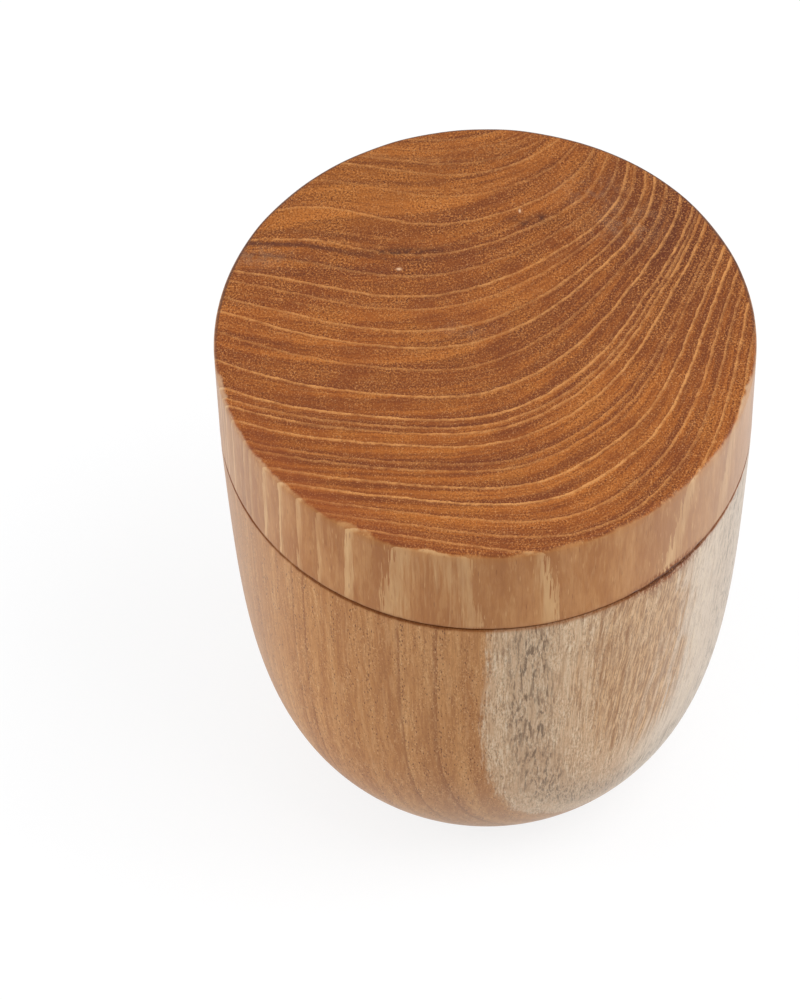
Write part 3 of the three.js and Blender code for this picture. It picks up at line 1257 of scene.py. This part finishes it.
# %% The body's wood
HEART_GROUND = (188, 128, 72)
HEART_LAYERS = (
    # pattern, values between which it comes in, share, tone, second pattern that thins it
    ("cloud", (0.3, 0.7), 1.0, (202, 144, 88)),
    ("bands", (0.58, 0.35), 0.5, (164, 102, 52)),
    ("bands", (0.52, 0.7), 0.35, (216, 164, 110)),
    ("late", AS_IT_IS, 0.2, (156, 98, 52)),
    ("brink", AS_IT_IS, 0.6, (142, 82, 38)),
    ("coarse", (0.5, 0.34), 0.35, (156, 98, 52)),
    ("coarse", (0.5, 0.66), 0.3, (220, 170, 118)),
    ("fibre", (0.52, 0.34), 0.35, (150, 94, 50)),
    ("speckle", (0.52, 0.68), 0.5, (228, 182, 130), "busy"),
    ("speckle", (0.48, 0.32), 0.5, (140, 86, 46), "busy"),
    ("dark_pores", AS_IT_IS, 0.85, (100, 54, 24)),
    ("pale_pores", AS_IT_IS, 0.5, (228, 184, 132)),
)
SAP_GROUND = (202, 160, 122)
SAP_LAYERS = (
    ("cloud", (0.3, 0.7), 1.0, (218, 181, 143)),
    ("cool", AS_IT_IS, 0.8, (222, 206, 190)),
    ("coarse", (0.5, 0.32), 0.4, (172, 136, 100)),
    ("coarse", (0.5, 0.68), 0.4, (230, 208, 176)),
    ("hair", (0.5, 0.34), 0.75, (140, 104, 74), "sap_busy"),
    ("hair", (0.5, 0.66), 0.65, (238, 216, 186), "sap_busy"),
    ("speckle", (0.5, 0.34), 0.6, (148, 116, 88), "sap_busy"),
    ("speckle", (0.5, 0.66), 0.5, (236, 216, 186), "sap_busy"),
    ("grey", AS_IT_IS, 0.2, (156, 130, 108)),
    ("stain", AS_IT_IS, 0.78, (106, 80, 58)),
)
TONGUE_GROUND = (160, 112, 70)
TONGUE_LAYERS = (
    ("hair", (0.38, 0.62), 1.0, (216, 172, 126)),
    ("coarse", (0.5, 0.35), 0.5, (150, 102, 66)),
    ("speckle", (0.46, 0.34), 0.6, (120, 80, 54)),
)
SAP_MARKS = (
    ("dark_pores", AS_IT_IS, 0.3, (124, 98, 72)),
    ("torn", AS_IT_IS, 0.8, (132, 78, 38)),
)
BODY_END_GRAIN = (("end", AS_IT_IS, 0.45, (134, 86, 50)),)
BODY_END = (0.6, 1.0)
BODY_END_PATCHES = 0.3
BODY_FIBRE_HEIGHT = 0.15
BODY_ROUGHNESS = (0.54, 0.68)


def body_wood():
    material = Finish.start("oiled_body_wood")
    place, direction = object_place()
    patterns = grains(place, BODY_GRAIN) | grains(slanting(place), SLANTING_GRAIN)
    distance = body_rings(place, patterns)
    patterns["bands"] = ring_tones(place, distance, *BODY_BAND_TONES)
    body_lines(distance, patterns)
    body_pores(place, patterns)
    body_zones(place, distance, patterns)
    upright = math_node("ABSOLUTE", parts(direction)[2])
    patterns["end"] = ramp(upright + (patterns["patchy"] - MIDDLE) * BODY_END_PATCHES, *BODY_END)

    heart = laid(tone(*HEART_GROUND), patterns, HEART_LAYERS)
    sap = laid(tone(*SAP_GROUND), patterns, SAP_LAYERS)
    brown = laid(tone(*TONGUE_GROUND), patterns, TONGUE_LAYERS)
    sap = laid(mixed(patterns["tongue"], sap, brown), patterns, SAP_MARKS)
    # the body gets its painted sheen
    colour = with_painted_sheen(mixed(patterns["sapwood"], heart, sap), place)
    colour = laid(colour, patterns, BODY_END_GRAIN)
    colour = seam_dirt(colour, place, patterns)
    relief = grain_height(patterns, BODY_FIBRE_HEIGHT) + tool_rings(place, direction)
    wood_shader(colour, ramp(patterns["speckle"], *SPECKLE_RANGE, *BODY_ROUGHNESS), relief)
    return material


jar_body.data.materials.append(body_wood())
print("the body's wood has", len(Finish.tree.nodes), "nodes")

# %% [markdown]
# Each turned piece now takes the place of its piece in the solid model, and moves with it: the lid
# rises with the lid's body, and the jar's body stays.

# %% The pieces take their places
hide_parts("lid")
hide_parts("jar_body")
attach(jar_lid, "lid")
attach(jar_body, "jar")
print("both pieces have their wood and their places")

# %% [markdown]
# The jar stands on a plain white floor that runs out of the picture. To the camera, and in glossy or
# clear surfaces, most of the floor's light is its own, so that it shows as white with a faint shadow.
# It lies a hair under the foot, and it can be seen through from below, where one looks at the foot.

# %% The floor
FLOOR_SIZE = 6000
FLOOR_DROP = 0.2  # the floor lies this far under the foot, so that the two don't share a plane
FLOOR_BOUNCE = (0.80, 0.83, 0.86, 1)  # the floor's colour in the light that it sends to the jar
FLOOR_SHADED = (0.2231, 0.23, 0.2369, 1)  # and its colour to the camera, which takes the shadow
FLOOR_GLOW = 0.80
WHITE = (1, 1, 1, 1)


def seen_plainly():
    """1 on rays from the camera and on those that glossy and clear surfaces send on, and 0 on others."""
    ray = node("LightPath", {})
    seen = Value(ray.outputs["Is Camera Ray"]) + Value(ray.outputs["Is Glossy Ray"])
    return clamp(seen + Value(ray.outputs["Is Transmission Ray"]))


def floor_finish():
    material = Finish.start("white_floor")
    bounce = node("BsdfDiffuse", {}, color=FLOOR_BOUNCE)
    shaded = node("BsdfDiffuse", {}, color=FLOOR_SHADED)
    glow = node("Emission", {}, color=WHITE, strength=FLOOR_GLOW)
    clear = node("BsdfTransparent", {})
    shown = two_shaders("AddShader", shaded, glow)
    upper = two_shaders("MixShader", bounce, shown, fac=seen_plainly())
    from_below = Value(node("NewGeometry", {}).outputs["Backfacing"])
    put_out(two_shaders("MixShader", upper, clear, fac=from_below))
    return material


def make_floor():
    bm = bmesh.new()
    bmesh.ops.create_grid(bm, x_segments=1, y_segments=1, size=FLOOR_SIZE / 2 * MM)
    bmesh.ops.translate(bm, verts=bm.verts, vec=(0, 0, -FLOOR_DROP * MM))
    mesh = bpy.data.meshes.new("floor")
    bm.to_mesh(mesh)
    bm.free()
    mesh.materials.append(floor_finish())
    floor = bpy.data.objects.new("floor", mesh)
    bpy.context.collection.objects.link(floor)


make_floor()
print("the floor is", FLOOR_SIZE, "mm wide")

# %% [markdown]
# The light is that of a bright studio: white all round, and one large soft lamp nearly overhead, a
# little to the right, which lays the faint shadow to the left of the jar. A lamp on either side
# makes the sides of the jar paler than its front.

# %% The light
WORLD_FILL = 0.56
LAMP_WIDTH = 600
LAMPS = (
    # name, watts, place
    ("overhead_lamp", 4.6, Vector((460, -260, 1250))),
    ("left_lamp", 4.1, Vector((-950, 50, 420))),
    ("right_lamp", 3.6, Vector((950, 50, 420))),
)
AIM_HEIGHT = 0.6  # height that the lamps face, as a share of the jar's
LAMPS_AIM = Vector((0, 0, top_height * AIM_HEIGHT))


def make_world():
    """A surround that lights the jar softly and shows as plain white."""
    world = bpy.data.worlds.new("studio")
    bpy.context.scene.world = world
    Finish.write_on(world)
    strength = ramp(seen_plainly(), 0.0, 1.0, WORLD_FILL, 1.0)
    put_out(node("Background", {}, color=WHITE, strength=strength), "OutputWorld")


def make_lamp(name, power, place):
    """A square soft lamp that faces the jar."""
    lamp = bpy.data.objects.new(name, bpy.data.lights.new(name, "AREA"))
    lamp.data.energy = power
    lamp.data.size = LAMP_WIDTH * MM
    lamp.location = place * MM
    lamp.rotation_euler = (LAMPS_AIM - place).to_track_quat("-Z", "Y").to_euler()
    bpy.context.collection.objects.link(lamp)


make_world()
for lamp in LAMPS:
    make_lamp(*lamp)
bpy.context.scene.view_settings.view_transform = "Standard"
print(len(LAMPS), "lamps in a white surround of strength", WORLD_FILL)
